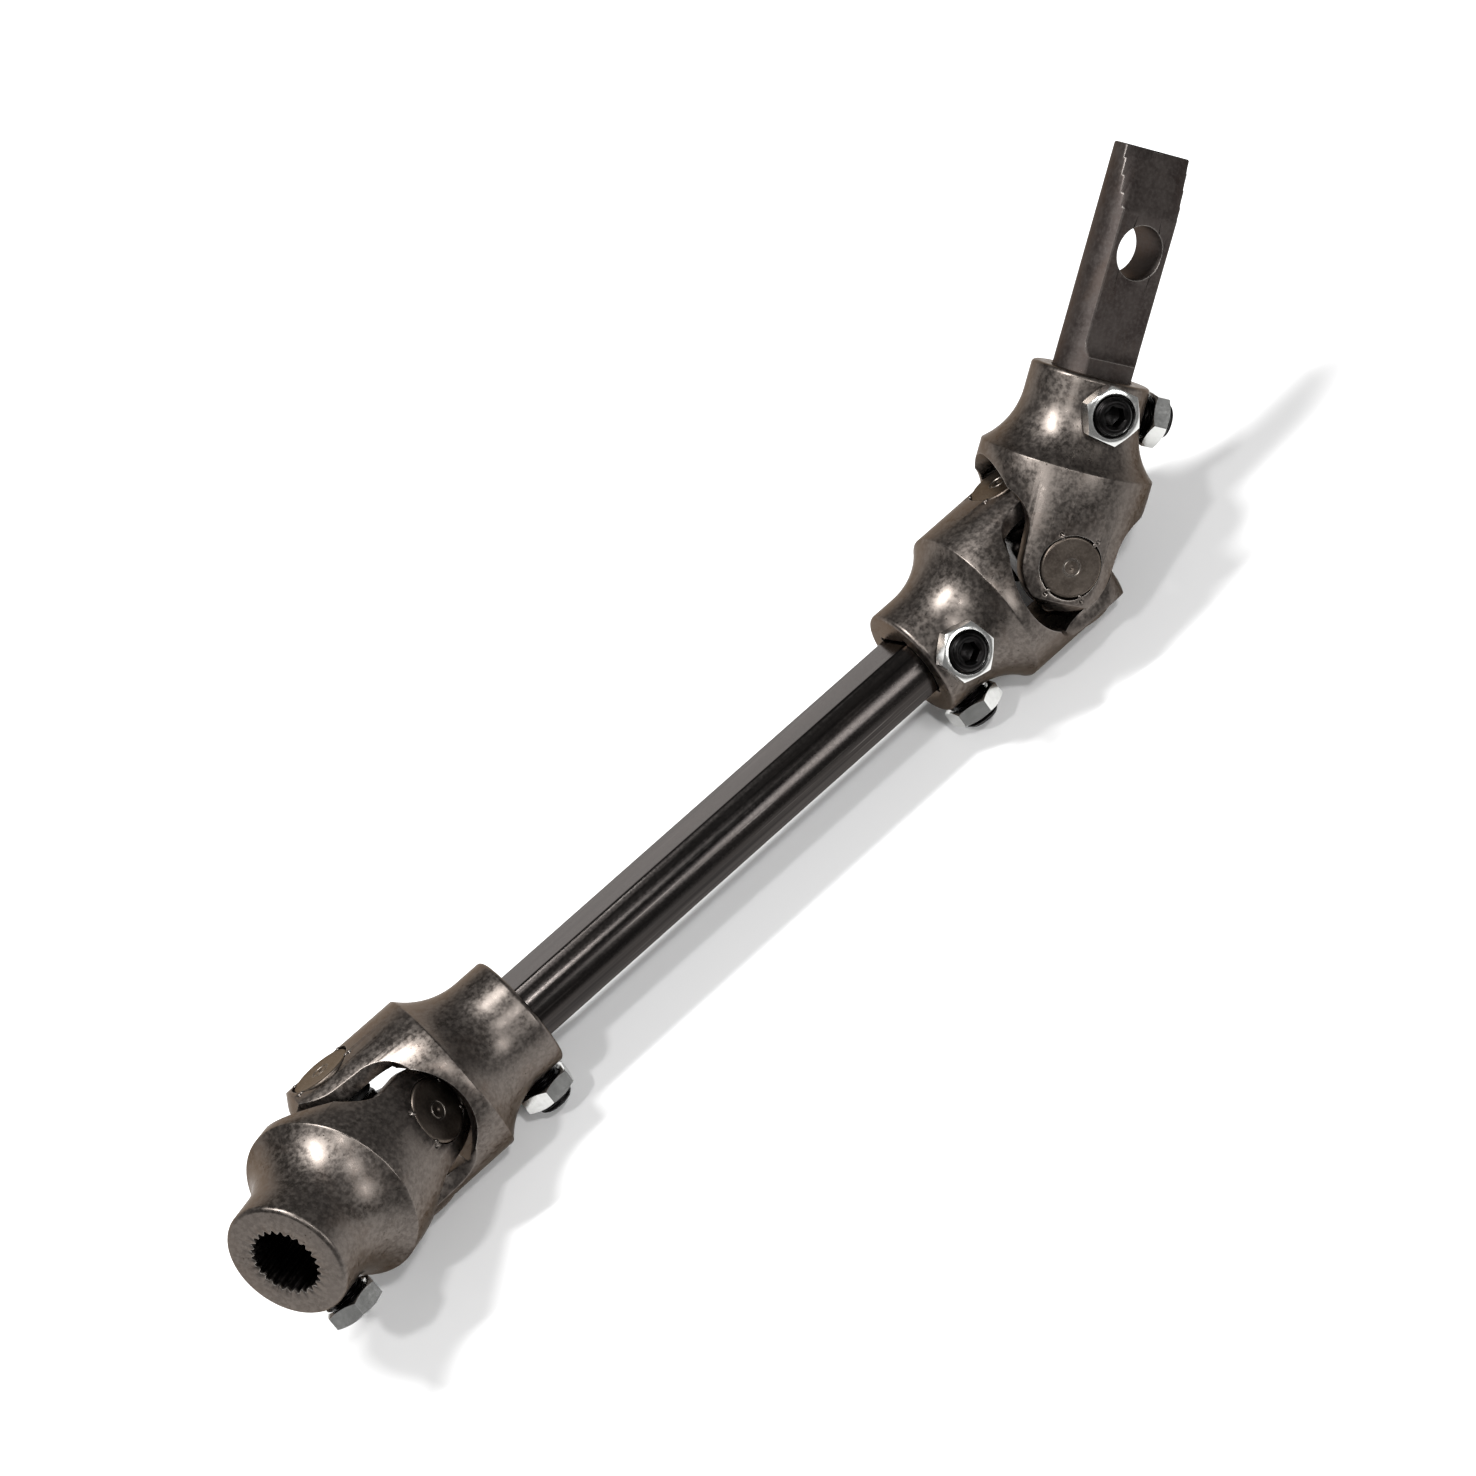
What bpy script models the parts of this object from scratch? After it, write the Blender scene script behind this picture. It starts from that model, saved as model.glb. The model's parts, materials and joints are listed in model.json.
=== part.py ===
"""Steering intermediate shaft with two universal joints, as separate machined pieces.

Units are metres, +Z is up. The Double-D shaft lies along +X, from the lower joint to the
upper joint, and the bent assembly lies on the ground plane. Every yoke is drawn in its own
frame: cross centre at the origin, hub along +Z, bearing pin along X.
"""

import math

import bmesh
import bpy
from mathutils import Matrix, Vector

MM = 0.001
GAP = 0.3 * MM  # running clearance between separate pieces

# Pose of the assembly, in degrees.
SHAFT_ROLL = 133.1  # about the shaft, so both yoke rims touch the ground
LOWER_BEND_ON_SHAFT_PIN = 39.8
LOWER_BEND_ON_YOKE_PIN = -1.0
UPPER_BEND_ON_SHAFT_PIN = -11.2
UPPER_BEND_ON_YOKE_PIN = 40.4
UPPER_PHASE = 7.5  # roll of the upper yoke against the lower one
FLAT_PHASE = 3.75  # roll of the shaft flats, halfway between both yokes

# Yokes.
CENTRE_DISTANCE = 213.2 * MM
HUB_END = 44.2 * MM
HUB_RADIUS = 14.7 * MM
HUB_EDGE = 0.9 * MM
COVE_START = 36.7 * MM
COVE_RADIUS = 18.1 * MM
RIM_HEIGHT = 22.6 * MM
RIM_RADIUS = 21.4 * MM
SLOT_HALF = 14.2 * MM
ARCH_RADIUS = 16.5 * MM
ARCH_CROWN = 19.2 * MM
POCKET_RADIUS = 23.5 * MM
EAR_RADIUS = 11.4 * MM
EAR_TIP = 11.3 * MM
EAR_TIP_FACE = 8.8 * MM
EAR_TIP_INNER = 17.5 * MM
SCALLOP_RADIUS = 10.05 * MM
SCALLOP_HEIGHT = 5.0 * MM

# Bearings.
CUP_RADIUS = 7.6 * MM
CUP_FACE = 20.8 * MM
CUP_MOUTH = 13.2 * MM
CUP_WALL = 1.5 * MM
CUP_EDGE = 0.7 * MM
TRUNNION_RADIUS = 4.4 * MM
NEEDLE_COUNT = 12
CROSS_CORE = 8.2 * MM
SEAL_RADIUS = 6.6 * MM
SEAL_FACE = 10.6 * MM

# Shafts.
SHAFT_RADIUS = 9.525 * MM
SHAFT_FLAT = 7.0 * MM
SHAFT_INSERT = 25.5 * MM  # from the cross centre to the hidden end of a bar
TANG_RADIUS = 9.75 * MM
TANG_FLAT = 5.5 * MM
TANG_END = 98.5 * MM
TANG_TAPER_START = 83.5 * MM
TANG_TIP_FLAT = 1.6 * MM
TANG_ROLL = 14.0  # degrees past the set screw
TANG_HOLE_HEIGHT = 74.6 * MM
TANG_HOLE_RADIUS = 6.5 * MM
SPLINE_TEETH = 26
SPLINE_MAJOR = 8.6 * MM
SPLINE_MINOR = 7.8 * MM
SPLINE_PHASE = 0.37  # of one tooth, so no tooth edge meets the screw hole edge

# Set screws and jam nuts.
SCREW_HEIGHT = 37.0 * MM
SCREW_RADIUS = 4.7 * MM
SOCKET_RADIUS = 2.4 * MM
SOCKET_DEPTH = 4.0 * MM
NUT_FLATS = 12.7 * MM
NUT_SEAT = 16.0 * MM
NUT_FACE = 20.4 * MM

ROUND = 40


def clear_scene():
    for item in list(bpy.data.objects):
        bpy.data.objects.remove(item, do_unlink=True)


def material(name, colour, roughness, metallic):
    made = bpy.data.materials.new(name)
    made.use_nodes = True
    shader = made.node_tree.nodes["Principled BSDF"]
    shader.inputs["Base Color"].default_value = (*colour, 1.0)
    shader.inputs["Roughness"].default_value = roughness
    shader.inputs["Metallic"].default_value = metallic
    made.diffuse_color = (*colour, 1.0)
    return made


def frame(name, parent, matrix):
    empty = bpy.data.objects.new(name, None)
    empty.empty_display_size = 0.02
    bpy.context.scene.collection.objects.link(empty)
    empty.parent = parent
    empty.matrix_local = matrix
    return empty


def add_mesh(name, mesh, parent, matrix=None, look=None):
    item = bpy.data.objects.new(name, mesh)
    bpy.context.scene.collection.objects.link(item)
    item.parent = parent
    item.matrix_local = matrix or Matrix.Identity(4)
    if look:
        mesh.materials.clear()
        mesh.materials.append(look)
    return item


def finish_mesh(name, edit, smooth_angle=35):
    bmesh.ops.recalc_face_normals(edit, faces=edit.faces)
    for face in edit.faces:
        face.smooth = True
    for edge in edit.edges:
        edge.smooth = len(edge.link_faces) == 2 and edge.calc_face_angle() < math.radians(smooth_angle)
    mesh = bpy.data.meshes.new(name)
    edit.to_mesh(mesh)
    edit.free()
    return mesh


def turned(name, outline, segments=ROUND):
    """Solid turned about Z from a closed outline of (radius, height) points."""
    edit = bmesh.new()
    rings = []
    for radius, height in outline:
        if radius == 0:
            rings.append([edit.verts.new((0, 0, height))])
            continue
        ring = []
        for step in range(segments):
            angle = 2 * math.pi * step / segments
            ring.append(edit.verts.new((radius * math.cos(angle), radius * math.sin(angle), height)))
        rings.append(ring)
    for index, lower in enumerate(rings):
        upper = rings[(index + 1) % len(rings)]
        if len(lower) == 1 and len(upper) == 1:
            continue
        for step in range(segments):
            after = (step + 1) % segments
            corners = [lower[step % len(lower)], lower[after % len(lower)]]
            corners += [upper[after % len(upper)], upper[step % len(upper)]]
            edit.faces.new(list(dict.fromkeys(corners)))
    return finish_mesh(name, edit)


def prism(name, outline, low, high):
    """Straight solid along Z over a closed outline of (x, y) points."""
    edit = bmesh.new()
    floor = [edit.verts.new((x, y, low)) for x, y in outline]
    base = edit.faces.new(floor)
    lifted = bmesh.ops.extrude_face_region(edit, geom=[base])
    top = [item for item in lifted["geom"] if isinstance(item, bmesh.types.BMVert)]
    bmesh.ops.translate(edit, verts=top, vec=(0, 0, high - low))
    return finish_mesh(name, edit)


def arc(centre, radius, start, end, steps):
    points = []
    for step in range(steps + 1):
        angle = math.radians(start + (end - start) * step / steps)
        points.append((centre[0] + radius * math.cos(angle), centre[1] + radius * math.sin(angle)))
    return points


def double_d(radius, flat, steps=8):
    """Round bar section with two flats, square to X."""
    half = math.degrees(math.acos(flat / radius))
    return arc((0, 0), radius, half, 180 - half, steps) + arc((0, 0), radius, 180 + half, 360 - half, steps)


def cut(target, mesh, matrix):
    """Subtract a hidden cutter, given in the target's own frame."""
    cutter = add_mesh(f"cutter_{mesh.name}_{target.name}", mesh, target, matrix)
    cutter.hide_render = True
    cutter.display_type = "WIRE"
    step = target.modifiers.new(f"cut_{mesh.name}", "BOOLEAN")
    step.operation = "DIFFERENCE"
    step.solver = "EXACT"
    step.object = cutter
    return step


def axis_to_x():
    """Turns a mesh drawn along Z so it runs along X, with its X pointing along Y."""
    return Matrix(((0, 0, 1, 0), (1, 0, 0, 0), (0, 1, 0, 0), (0, 0, 0, 1)))


def around_z(degrees):
    return Matrix.Rotation(math.radians(degrees), 4, "Z")


def radial(degrees, height):
    """Frame whose +Z points straight out of a hub, at an angle and height."""
    return around_z(degrees) @ Matrix.Translation((0, 0, height)) @ axis_to_x()


# Shared cutters, drawn once and used by every yoke.

def slot_mesh():
    centre = ARCH_CROWN - ARCH_RADIUS
    side = math.degrees(math.acos(SLOT_HALF / ARCH_RADIUS))
    outline = [(-SLOT_HALF, -20 * MM), (SLOT_HALF, -20 * MM)]
    outline += arc((0, centre), ARCH_RADIUS, side, 180 - side, 10)
    return prism("slot", outline, -30 * MM, 30 * MM)


def pocket_mesh():
    outline = [(0, -SLOT_HALF)]
    for step in range(7):
        across = -SLOT_HALF + 2 * SLOT_HALF * step / 6
        outline.append((math.sqrt(POCKET_RADIUS ** 2 - across ** 2), across))
    outline.append((0, SLOT_HALF))
    return turned("pocket", outline)


def side_mesh():
    outline = [(30 * MM, SCALLOP_HEIGHT + SCALLOP_RADIUS)]
    outline += arc((21.8 * MM, SCALLOP_HEIGHT), SCALLOP_RADIUS, 90, 180, 6)
    outline += arc((0, 0), EAR_RADIUS, 0, -84, 7)
    outline += [(1.2 * MM, -16 * MM), (30 * MM, -16 * MM)]
    return prism("side", outline, -25 * MM, 25 * MM)


def yoke(name, parent, turn, look, tools, bore, screw_angles):
    """Hub and two ears in one piece, slotted, bored and drilled."""
    sweep = math.degrees(math.asin((COVE_START - RIM_HEIGHT) / COVE_RADIUS))
    cove = arc((HUB_RADIUS + COVE_RADIUS, COVE_START), COVE_RADIUS, 180, 180 + 0.94 * sweep, 6)
    outline = [(0, HUB_END), (HUB_RADIUS - HUB_EDGE, HUB_END), (HUB_RADIUS, HUB_END - HUB_EDGE)]
    outline += cove
    outline += [(RIM_RADIUS, RIM_HEIGHT), (RIM_RADIUS, -EAR_TIP_FACE), (EAR_TIP_INNER, -EAR_TIP)]
    outline += [(0, -EAR_TIP)]
    body = add_mesh(name, turned(name, outline), parent, turn, look)
    upright = Matrix.Rotation(math.radians(90), 4, "X")
    cut(body, tools["slot"], upright)
    cut(body, tools["pocket"], axis_to_x())
    cut(body, tools["side"], axis_to_x())
    cut(body, tools["side"], around_z(180) @ axis_to_x())
    cut(body, tools["pin_bore"], axis_to_x())
    cut(body, bore, Matrix.Identity(4))
    for angle in screw_angles:
        cut(body, tools["screw_bore"], radial(angle, SCREW_HEIGHT))
    return body


def cross_mesh():
    """Cube core of a cross, with rounded edges."""
    edit = bmesh.new()
    bmesh.ops.create_cube(edit, size=2 * CROSS_CORE)
    bmesh.ops.bevel(edit, geom=edit.edges[:], offset=2.2 * MM, segments=2, affect="EDGES", profile=0.6)
    return finish_mesh("cross", edit)


def trunnion_pair_mesh():
    end = CUP_FACE - CUP_WALL - GAP
    outline = [(0, -end), (TRUNNION_RADIUS - 0.4 * MM, -end), (TRUNNION_RADIUS, -end + 0.4 * MM)]
    outline += [(TRUNNION_RADIUS, end - 0.4 * MM), (TRUNNION_RADIUS - 0.4 * MM, end), (0, end)]
    return turned("trunnions", outline, 20)


def cup_mesh():
    inner = CUP_RADIUS - CUP_WALL
    outline = [(0, CUP_FACE), (CUP_RADIUS - CUP_EDGE, CUP_FACE), (CUP_RADIUS - 0.2 * MM, CUP_FACE - 0.2 * MM)]
    outline += [(CUP_RADIUS, CUP_FACE - CUP_EDGE), (CUP_RADIUS, CUP_MOUTH), (inner, CUP_MOUTH)]
    outline += [(inner, CUP_FACE - CUP_WALL), (0, CUP_FACE - CUP_WALL)]
    return turned("cup", outline, 24)


def needle_mesh():
    """Full ring of needle rollers, drawn as one lobed sleeve."""
    inner = TRUNNION_RADIUS + GAP
    outer = CUP_RADIUS - CUP_WALL - GAP
    edit = bmesh.new()
    count = NEEDLE_COUNT * 3
    rings = []
    for height in (CUP_MOUTH + 1.0 * MM, CUP_FACE - CUP_WALL - 2 * GAP):
        for base, swing in ((inner, 0.12 * MM), (outer, -0.12 * MM)):
            ring = []
            for step in range(count):
                angle = 2 * math.pi * step / count
                radius = base + swing * (1 - math.cos(NEEDLE_COUNT * angle))
                ring.append(edit.verts.new((radius * math.cos(angle), radius * math.sin(angle), height)))
            rings.append(ring)
    order = (rings[0], rings[1], rings[3], rings[2])
    for index, ring in enumerate(order):
        other = order[(index + 1) % 4]
        for step in range(count):
            after = (step + 1) % count
            edit.faces.new((ring[step], ring[after], other[after], other[step]))
    return finish_mesh("needles", edit)


def seal_mesh():
    inner = TRUNNION_RADIUS + GAP
    outline = [(inner, SEAL_FACE), (SEAL_RADIUS, SEAL_FACE), (SEAL_RADIUS, CUP_MOUTH - GAP)]
    outline += [(inner, CUP_MOUTH - GAP)]
    return turned("seal", outline, 16)


def nut_mesh():
    """Hexagon jam nut, threaded hole along Z, faces from seat to outer face."""
    corner = NUT_FLATS / math.sqrt(3)
    edit = bmesh.new()
    bore = SCREW_RADIUS + GAP
    rings = []
    for radius, height, six in (
        (bore, NUT_SEAT, False),
        (corner, NUT_SEAT, True),
        (corner, NUT_FACE - 0.7 * MM, True),
        (NUT_FLATS / 2, NUT_FACE, False),
        (bore, NUT_FACE, False),
    ):
        ring = []
        for step in range(24):
            angle = 2 * math.pi * step / 24
            reach = radius
            if six:
                reach *= math.cos(math.pi / 6) / math.cos((angle % (math.pi / 3)) - math.pi / 6)
            ring.append(edit.verts.new((reach * math.cos(angle), reach * math.sin(angle), height)))
        rings.append(ring)
    for index, ring in enumerate(rings):
        other = rings[(index + 1) % len(rings)]
        for step in range(24):
            after = (step + 1) % 24
            edit.faces.new((ring[step], ring[after], other[after], other[step]))
    return finish_mesh("nut", edit, 25)


def screw_mesh(tip, end):
    """Socket set screw with a socket in its outer end."""
    depth = end - SOCKET_DEPTH
    outline = [(0, tip), (SCREW_RADIUS - 0.8 * MM, tip), (SCREW_RADIUS, tip + 0.8 * MM)]
    outline += [(SCREW_RADIUS, end - 0.6 * MM), (SCREW_RADIUS - 0.6 * MM, end)]
    outline += [(SOCKET_RADIUS, end), (SOCKET_RADIUS, depth), (0, depth - 0.6 * MM)]
    return turned("screw", outline, 12)


def tang_mesh():
    section = double_d(TANG_RADIUS, TANG_FLAT, 8)
    return prism("tang", section, SHAFT_INSERT, TANG_END)


def spline_mesh():
    outline = []
    for step in range(SPLINE_TEETH):
        for part, radius in ((0.0, SPLINE_MINOR), (0.3, SPLINE_MINOR), (0.5, SPLINE_MAJOR), (0.8, SPLINE_MAJOR)):
            angle = 2 * math.pi * (step + part + SPLINE_PHASE) / SPLINE_TEETH
            outline.append((radius * math.cos(angle), radius * math.sin(angle)))
    return prism("spline_bore", outline, 10 * MM, 60 * MM)


def fit_bearings(yoke_name, side_names, parent, axis, looks, meshes):
    """Two cups and two needle sets on one pin axis, given as an angle about Z."""
    for side, angle in zip(side_names, (axis, axis + 180)):
        place = radial(angle, 0)
        add_mesh(f"{yoke_name}_cup_{side}", meshes["cup"].copy(), parent, place, looks["cup"])
        add_mesh(f"{yoke_name}_needles_{side}", meshes["needles"].copy(), parent, place, looks["needle"])


def fit_screws(yoke_name, parent, turn, screws, looks):
    """Set screw and jam nut at each (angle, tip radius, end radius, nut turn) of a hub."""
    for index, (angle, tip, end, nut_turn) in enumerate(screws, start=1):
        place = turn @ radial(angle, SCREW_HEIGHT)
        add_mesh(f"{yoke_name}_set_screw_{index}", screw_mesh(tip, end), parent, place, looks["screw"])
        add_mesh(f"{yoke_name}_jam_nut_{index}", nut_mesh(), parent, place @ around_z(nut_turn), looks["zinc"])


def build_cross(name, parent, looks, meshes):
    body = add_mesh(name, cross_mesh(), parent, None, looks["cross"])
    for number, turn in enumerate((axis_to_x(), around_z(90) @ axis_to_x())):
        pair = add_mesh(f"{name}_trunnion_{number}", meshes["trunnions"].copy(), body, turn)
        pair.hide_render = True
        pair.display_type = "WIRE"
        step = body.modifiers.new(f"trunnion_{number}", "BOOLEAN")
        step.operation = "UNION"
        step.solver = "EXACT"
        step.object = pair
    for number in range(4):
        add_mesh(f"{name}_seal_{number + 1}", meshes["seal"].copy(), parent, radial(90 * number, 0), looks["rubber"])


def place_on_ground(root):
    """Move the root so the lowest point is at Z = 0 and the footprint is centred."""
    bpy.context.view_layer.update()
    depsgraph = bpy.context.evaluated_depsgraph_get()
    low = Vector((1e9, 1e9, 1e9))
    high = -low
    for item in bpy.data.objects:
        if item.type != "MESH" or item.hide_render:
            continue
        shape = item.evaluated_get(depsgraph)
        for vertex in shape.data.vertices:
            point = shape.matrix_world @ vertex.co
            low = Vector(map(min, low, point))
            high = Vector(map(max, high, point))
    shift = Vector(((low.x + high.x) / 2, (low.y + high.y) / 2, low.z))
    root.location = root.location - shift
    bpy.context.view_layer.update()


def main():
    clear_scene()
    looks = {
        "yoke": material("dark_machined_steel", (0.16, 0.15, 0.14), 0.38, 1.0),
        "shaft": material("black_cold_drawn_steel", (0.07, 0.07, 0.07), 0.36, 1.0),
        "tang": material("grey_steel_bar", (0.20, 0.20, 0.20), 0.42, 1.0),
        "cup": material("bearing_cup_steel", (0.30, 0.27, 0.24), 0.32, 1.0),
        "needle": material("needle_roller_steel", (0.62, 0.62, 0.62), 0.2, 1.0),
        "cross": material("hardened_cross_steel", (0.35, 0.35, 0.35), 0.35, 1.0),
        "rubber": material("seal_rubber", (0.02, 0.02, 0.02), 0.7, 0.0),
        "screw": material("black_oxide_steel", (0.05, 0.05, 0.05), 0.45, 1.0),
        "zinc": material("bright_zinc_plate", (0.72, 0.73, 0.75), 0.26, 1.0),
    }
    meshes = {
        "cup": cup_mesh(),
        "needles": needle_mesh(),
        "seal": seal_mesh(),
        "trunnions": trunnion_pair_mesh(),
    }
    tools = {
        "slot": slot_mesh(),
        "pocket": pocket_mesh(),
        "side": side_mesh(),
        "pin_bore": turned("pin_bore", [
            (0, -30 * MM),
            (CUP_RADIUS + GAP, -30 * MM),
            (CUP_RADIUS + GAP, 30 * MM),
            (0, 30 * MM),
        ], 24),
        "screw_bore": turned("screw_bore", [
            (0, 2 * MM),
            (SCREW_RADIUS + GAP, 2 * MM),
            (SCREW_RADIUS + GAP, 20 * MM),
            (0, 20 * MM),
        ], 12),
    }
    shaft_bore = prism("shaft_bore", double_d(SHAFT_RADIUS + GAP, SHAFT_FLAT + GAP), 10 * MM, 60 * MM)
    tang_bore = turned("tang_bore", [
        (0, 10 * MM),
        (TANG_RADIUS + GAP, 10 * MM),
        (TANG_RADIUS + GAP, 60 * MM),
        (0, 60 * MM),
    ])

    lay_down = Matrix.Rotation(math.radians(SHAFT_ROLL), 4, "X") @ Matrix.Rotation(math.radians(90), 4, "Y")
    root = frame("shaft_frame", None, lay_down)
    upper_end = frame("shaft_upper_end_frame", root, Matrix.Translation((0, 0, CENTRE_DISTANCE)) @ around_z(UPPER_PHASE))

    # Middle shaft with its two yokes. Hubs point at each other.
    flats = around_z(FLAT_PHASE)
    section = double_d(SHAFT_RADIUS, SHAFT_FLAT)
    bar = prism("double_d_shaft", section, SHAFT_INSERT, CENTRE_DISTANCE - SHAFT_INSERT)
    add_mesh("double_d_shaft", bar, root, flats, looks["shaft"])
    upside_down = Matrix.Rotation(math.radians(180), 4, "X")
    flat_tip = SHAFT_FLAT + GAP
    round_tip = SHAFT_RADIUS + GAP

    lower_screws = (
        (180 + FLAT_PHASE, flat_tip, 22.8 * MM, 12),
        (270 + FLAT_PHASE, round_tip, 22.0 * MM, 25),
    )
    lower_bore = shaft_bore.copy()
    lower_bore.transform(flats)
    yoke("shaft_lower_yoke", root, Matrix.Identity(4), looks["yoke"], tools, lower_bore,
         [screw[0] for screw in lower_screws])
    fit_bearings("shaft_lower", ("a", "b"), root, 0, looks, meshes)
    fit_screws("shaft_lower", root, Matrix.Identity(4), lower_screws, looks)

    # In the flipped frame a roll of r about the shaft reads as -r.
    upper_roll = UPPER_PHASE - FLAT_PHASE
    upper_bore = shaft_bore.copy()
    upper_bore.transform(around_z(upper_roll))
    upper_screws = (
        (180 + upper_roll, flat_tip, 22.6 * MM, 58),
        (270 + upper_roll, round_tip, 21.3 * MM, 16),
    )
    yoke("shaft_upper_yoke", upper_end, upside_down, looks["yoke"], tools, upper_bore,
         [screw[0] for screw in upper_screws])
    fit_bearings("shaft_upper", ("a", "b"), upper_end, 0, looks, meshes)
    fit_screws("shaft_upper", upper_end, upside_down, upper_screws, looks)

    # Lower joint: cross turns on the shaft yoke's pin, splined yoke turns on its own pin.
    lower_cross = frame("lower_cross_frame", root, Matrix.Rotation(math.radians(LOWER_BEND_ON_SHAFT_PIN), 4, "X"))
    build_cross("lower_cross", lower_cross, looks, meshes)
    splined = frame("splined_yoke_frame", lower_cross, Matrix.Rotation(math.radians(LOWER_BEND_ON_YOKE_PIN), 4, "Y"))
    splined_turn = upside_down @ around_z(90)
    splined_screws = ((90, SPLINE_MAJOR + GAP, 20.0 * MM, 40),)
    yoke("splined_yoke", splined, splined_turn, looks["yoke"], tools, spline_mesh(),
         [screw[0] for screw in splined_screws])
    fit_bearings("splined_yoke", ("a", "b"), splined, 90, looks, meshes)
    fit_screws("splined_yoke", splined, splined_turn, splined_screws, looks)

    # Upper joint, the same way, carrying the flat tang.
    upper_cross = frame("upper_cross_frame", upper_end, Matrix.Rotation(math.radians(UPPER_BEND_ON_SHAFT_PIN), 4, "X"))
    build_cross("upper_cross", upper_cross, looks, meshes)
    column = frame("column_yoke_frame", upper_cross, Matrix.Rotation(math.radians(UPPER_BEND_ON_YOKE_PIN), 4, "Y"))
    column_turn = around_z(90)
    column_screws = (
        (0, TANG_FLAT + 1.4 * MM, 21.3 * MM, 50),
        (90, TANG_RADIUS + GAP, 22.4 * MM, 9),
    )
    yoke("column_yoke", column, column_turn, looks["yoke"], tools, tang_bore,
         [screw[0] for screw in column_screws])
    fit_bearings("column_yoke", ("a", "b"), column, 90, looks, meshes)
    fit_screws("column_yoke", column, column_turn, column_screws, looks)

    tang = add_mesh("flat_tang", tang_mesh(), column, around_z(90 + TANG_ROLL), looks["tang"])
    taper = [(TANG_FLAT + 0.01 * MM, TANG_TAPER_START), (20 * MM, TANG_TAPER_START - 2 * MM)]
    taper += [(20 * MM, TANG_END + 8 * MM)]
    slope = (TANG_FLAT - TANG_TIP_FLAT) / (TANG_END - TANG_TAPER_START)
    taper += [(TANG_FLAT - slope * (TANG_END + 8 * MM - TANG_TAPER_START), TANG_END + 8 * MM)]
    lie = Matrix.Rotation(math.radians(90), 4, "X")
    cut(tang, prism("taper", taper, -15 * MM, 15 * MM), lie)
    cut(tang, turned("cross_hole", [
        (0, -15 * MM),
        (TANG_HOLE_RADIUS, -15 * MM),
        (TANG_HOLE_RADIUS, 15 * MM),
        (0, 15 * MM),
    ], 32), Matrix.Translation((0, 0, TANG_HOLE_HEIGHT)) @ axis_to_x())

    place_on_ground(root)


main()
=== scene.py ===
"""Looks of the steering intermediate shaft: machined yokes, bearing cups, nuts, screws and bars.

Every piece is drawn in its own frame, with the hub or turning axis along Z, and is placed by
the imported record: joint positions and pins, and the mount directions of the two free ends.
"""

import json
import math

import bmesh
import bpy
from mathutils import Matrix, Vector


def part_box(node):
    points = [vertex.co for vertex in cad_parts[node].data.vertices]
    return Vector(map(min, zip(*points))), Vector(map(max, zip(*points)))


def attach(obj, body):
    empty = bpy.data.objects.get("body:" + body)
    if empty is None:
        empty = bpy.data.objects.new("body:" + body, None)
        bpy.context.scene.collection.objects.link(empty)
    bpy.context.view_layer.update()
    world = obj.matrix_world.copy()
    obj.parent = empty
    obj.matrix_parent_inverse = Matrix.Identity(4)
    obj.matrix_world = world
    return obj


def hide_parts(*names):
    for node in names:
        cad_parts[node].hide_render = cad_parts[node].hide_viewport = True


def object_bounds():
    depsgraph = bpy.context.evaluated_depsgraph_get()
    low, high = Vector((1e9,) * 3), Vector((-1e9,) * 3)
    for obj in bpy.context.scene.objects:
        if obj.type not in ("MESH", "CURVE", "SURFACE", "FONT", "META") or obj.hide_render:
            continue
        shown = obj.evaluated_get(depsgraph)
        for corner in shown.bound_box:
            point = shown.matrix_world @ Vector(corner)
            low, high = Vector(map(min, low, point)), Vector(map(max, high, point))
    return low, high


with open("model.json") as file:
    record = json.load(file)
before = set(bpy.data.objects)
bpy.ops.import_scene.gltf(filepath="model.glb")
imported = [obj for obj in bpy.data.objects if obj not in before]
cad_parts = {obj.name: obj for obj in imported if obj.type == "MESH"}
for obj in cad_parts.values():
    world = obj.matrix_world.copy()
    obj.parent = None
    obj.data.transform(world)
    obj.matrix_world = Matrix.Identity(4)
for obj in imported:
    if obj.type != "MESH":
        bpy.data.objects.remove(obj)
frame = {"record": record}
CAD_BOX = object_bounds()

MM = 0.001

# Sizes. The hub, ears, cups, bars, nuts and screws are as large as in the CAD model.
HUB_END = 44.2 * MM
HUB_RADIUS = 14.7 * MM
HUB_ROUND = 1.1 * MM
COVE_START = 36.7 * MM
COVE_RADIUS = 18.1 * MM
RIM_HEIGHT = 22.6 * MM
RIM_RADIUS = 21.4 * MM
SLOT_HALF = 14.2 * MM
ARCH_RADIUS = 16.5 * MM
ARCH_CROWN = 19.2 * MM
POCKET_RADIUS = 23.5 * MM
EAR_RADIUS = 11.4 * MM
EAR_TIP = 11.3 * MM
EAR_TIP_FACE = 8.8 * MM
EAR_TIP_INNER = 17.5 * MM
SCALLOP_RADIUS = 10.05 * MM
SCALLOP_CENTRE = 21.8 * MM
SCALLOP_HEIGHT = 5.0 * MM
EDGE_BREAK = 0.16 * MM  # small bevel on every sawn or milled edge
CUP_RADIUS = 7.6 * MM
CUP_FACE = 20.8 * MM
CUP_MOUTH = 13.2 * MM
CUP_WALL = 1.5 * MM
TRUNNION_RADIUS = 4.4 * MM
CROSS_CORE = 8.2 * MM
SEAL_RADIUS = 6.6 * MM
SEAL_FACE = 10.6 * MM
NEEDLE_COUNT = 28
SHAFT_RADIUS = 9.525 * MM
SHAFT_FLAT = 7.0 * MM
SHAFT_INSERT = 25.5 * MM
TANG_RADIUS = 9.75 * MM
TANG_FLAT = 5.5 * MM
TANG_FOOT_FLAT = 6.9 * MM
TANG_FOOT = 48.2 * MM
TANG_FOOT_END = 51.8 * MM
TANG_END = 98.5 * MM
TANG_TAPER_START = 83.5 * MM
TANG_TIP_FLAT = 1.6 * MM
TANG_HOLE_HEIGHT = 74.6 * MM
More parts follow.
